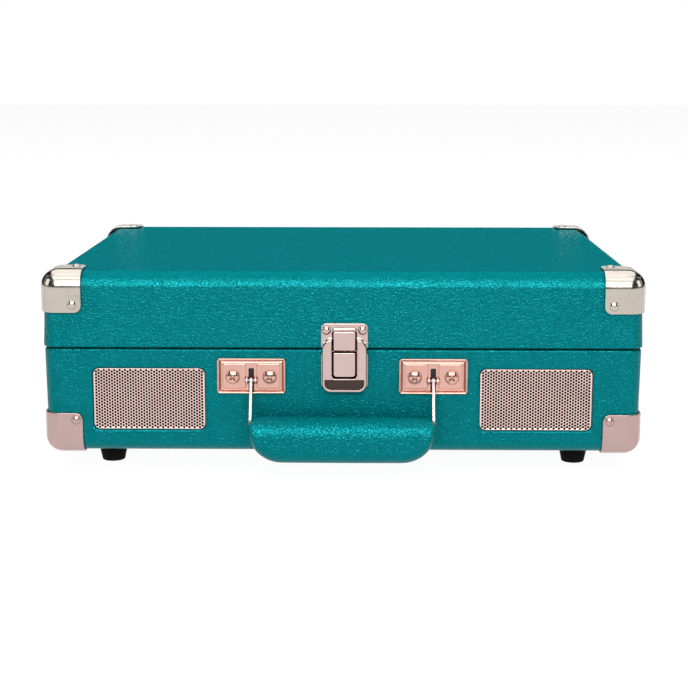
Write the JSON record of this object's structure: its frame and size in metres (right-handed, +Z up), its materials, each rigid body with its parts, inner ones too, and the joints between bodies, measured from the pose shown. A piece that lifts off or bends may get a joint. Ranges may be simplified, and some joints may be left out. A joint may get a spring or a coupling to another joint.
{
  "type": "suitcase record player",
  "caption": "Portable record player in a leatherette suitcase with a hinged lid, folding handle, toggle latch, metal corners and built-in speakers.",
  "frame": {"origin": "on the standing surface, under the middle of the whole object's box", "axes": "+X to the right of someone facing the latch, +Y to the rear, +Z up"},
  "size_m": [0.3572, 0.2926, 0.1199],
  "materials": {
    "leatherette": "fine pebbled grain",
    "grip_leatherette": "soft pebbled grain over padding",
    "lid_lining": "flocked black",
    "deck_vinyl": "fine black texture",
    "rose_metal": "bright rose-copper plating",
    "warm_nickel": "bright warm nickel plating",
    "grille_metal": "satin, perforated",
    "zinc_steel": "zinc plated",
    "brass": "turned",
    "black_rubber": "matt",
    "felt": "felt",
    "black_plastic": "fine moulded texture",
    "gloss_black": "gloss",
    "red_plastic": "gloss",
    "grey_plastic": "satin",
    "paper_cone": "pressed paper",
    "ferrite": "matt",
    "fibreglass": "green solder mask",
    "gold_plate": "bright",
    "platter_steel": "black paint"
  },
  "bodies": {
    "base": {"base_case": "leatherette", "motor_board": "deck_vinyl", "base_corners": "rose_metal", "base_corner_rivets": "rose_metal", "speaker_grille_left": "grille_metal", "speaker_grille_right": "grille_metal", "speaker_frame_left": "zinc_steel", "speaker_frame_right": "zinc_steel", "speaker_cone_left": "paper_cone", "speaker_cone_right": "paper_cone", "speaker_magnets": "ferrite", "rubber_feet": "black_rubber", "foot_screws": "zinc_steel", "handle_bracket_left": "rose_metal", "handle_bracket_right": "rose_metal", "bracket_screws": "rose_metal", "pivot_pins": "zinc_steel", "latch_plate": "rose_metal", "hinge_leaves_base": "warm_nickel", "hinge_pins": "zinc_steel", "hinge_screws_base": "warm_nickel", "case_screws": "zinc_steel", "motor": "zinc_steel", "drive_belt": "black_rubber", "circuit_board": "fibreglass", "volume_control": "zinc_steel", "rear_panel": "black_plastic", "rca_sockets": "gold_plate", "dc_socket": "black_plastic", "aux_socket": "black_plastic", "headphone_socket": "black_plastic", "spindle_bearing": "brass", "tonearm_base": "black_plastic", "tonearm_rest": "black_plastic"},
    "lid": {"lid_shell": "leatherette", "lid_lining": "lid_lining", "lid_corners": "warm_nickel", "lid_corner_rivets": "warm_nickel", "latch_catch": "rose_metal", "catch_rivets": "rose_metal", "hinge_leaves_lid": "warm_nickel", "hinge_screws_lid": "warm_nickel"},
    "latch": {"latch_lever": "rose_metal"},
    "handle": {"handle_grip": "grip_leatherette", "handle_straps": "rose_metal"},
    "platter": {"platter": "platter_steel", "slip_mat": "felt", "spindle": "zinc_steel"},
    "pulley": {"motor_pulley": "brass"},
    "gimbal": {"tonearm_gimbal": "black_plastic"},
    "arm": {"tonearm": "gloss_black", "cartridge": "black_plastic", "stylus": "red_plastic"},
    "clip": {"tonearm_clip": "black_plastic"},
    "cue": {"cue_lever": "black_plastic"},
    "lift": {"lift_bar": "black_plastic"},
    "knob": {"volume_knob": "gloss_black"},
    "selector": {"speed_selector": "black_plastic"},
    "autostop": {"autostop_switch": "grey_plastic"},
    "adapter": {"adapter_45": "grey_plastic"}
  },
  "joints": [
    {"name": "lid_hinge", "type": "hinge", "parent": "base", "child": "lid", "pos_m": [0, 0.14415, 0.0722], "axis": [-1, 0, 0], "range_deg": [0, 95]},
    {"name": "latch_hinge", "type": "hinge", "parent": "base", "child": "latch", "pos_m": [0.0013, -0.12765, 0.0765], "axis": [-1, 0, 0], "range_deg": [0, 100]},
    {"name": "handle_hinge", "type": "hinge", "parent": "base", "child": "handle", "pos_m": [0, -0.1266, 0.0538], "axis": [-1, 0, 0], "range_deg": [0, 90]},
    {"name": "platter_spin", "type": "hinge", "parent": "base", "child": "platter", "pos_m": [-0.045, 0.01465, 0.072], "axis": [0, 0, -1], "continuous": true},
    {"name": "pulley_spin", "type": "hinge", "parent": "base", "child": "pulley", "pos_m": [0.035, 0.01465, 0.07], "axis": [0, 0, -1], "continuous": true},
    {"name": "tonearm_swing", "type": "hinge", "parent": "base", "child": "gimbal", "pos_m": [0.132, 0.10565, 0.086], "axis": [0, 0, -1], "range_deg": [0, 48]},
    {"name": "tonearm_lift", "type": "hinge", "parent": "gimbal", "child": "arm", "pos_m": [0.132, 0.10565, 0.093], "axis": [-1, 0, 0], "range_deg": [0, 4]},
    {"name": "cue_hinge", "type": "hinge", "parent": "base", "child": "cue", "pos_m": [0.153, 0.08865, 0.077], "axis": [-1, 0, 0], "range_deg": [0, 50]},
    {"name": "lift_slide", "type": "slide", "parent": "base", "child": "lift", "axis": [0, 0, 1], "range_m": [0, 0.00256]},
    {"name": "clip_hinge", "type": "hinge", "parent": "base", "child": "clip", "pos_m": [0.1395, -0.01635, 0.0982], "axis": [0, -1, 0], "range_deg": [0, 90]},
    {"name": "volume_turn", "type": "hinge", "parent": "base", "child": "knob", "pos_m": [-0.143, -0.09135, 0.07], "axis": [0, 0, -1], "range_deg": [0, 280]},
    {"name": "speed_turn", "type": "hinge", "parent": "base", "child": "selector", "pos_m": [0.098, -0.09735, 0.07], "axis": [0, 0, -1], "range_deg": [0, 60]},
    {"name": "autostop_slide", "type": "slide", "parent": "base", "child": "autostop", "axis": [1, 0, 0], "range_m": [0, 0.006]},
    {"name": "adapter_lift", "type": "slide", "parent": "base", "child": "adapter", "axis": [0, 0, 1], "range_m": [0, 0.012]}
  ],
  "couplings": [
    {"joint": "pulley_spin", "follows": "platter_spin", "ratio": 15.065},
    {"joint": "cue_hinge", "follows": "tonearm_lift", "ratio": 12.25},
    {"joint": "lift_slide", "follows": "tonearm_lift", "m_per_rad": 0.0365}
  ]
}
